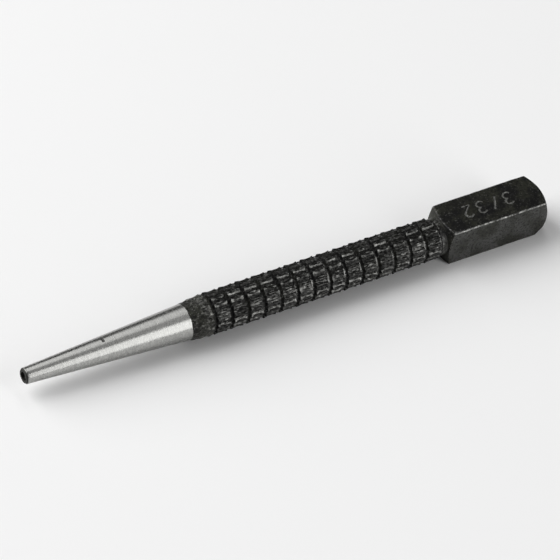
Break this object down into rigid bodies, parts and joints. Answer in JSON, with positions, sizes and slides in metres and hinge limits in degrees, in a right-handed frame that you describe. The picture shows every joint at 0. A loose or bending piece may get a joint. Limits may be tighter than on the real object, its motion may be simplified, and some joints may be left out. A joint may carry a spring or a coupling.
{
  "type": "nail setter",
  "caption": "Hand punch for setting nail heads below a surface: a cupped tapered point, a round knurled grip and a square striking head, turned from a bar of hardened steel.",
  "frame": {"origin": "centre of the cup's mouth on the flat working face, on the tool's axis", "axes": "+X along the axis from the point to the struck head, +Z square to one flat of the head and up when the tool lies on a bench"},
  "size_m": [0.1016, 0.0074, 0.0074],
  "materials": {
    "ground_steel": "satin",
    "black_steel": "satin"
  },
  "bodies": {
    "root": {"point": "ground_steel", "collar": "black_steel", "knurled_grip": "black_steel", "head": "black_steel"}
  },
  "joints": []
}
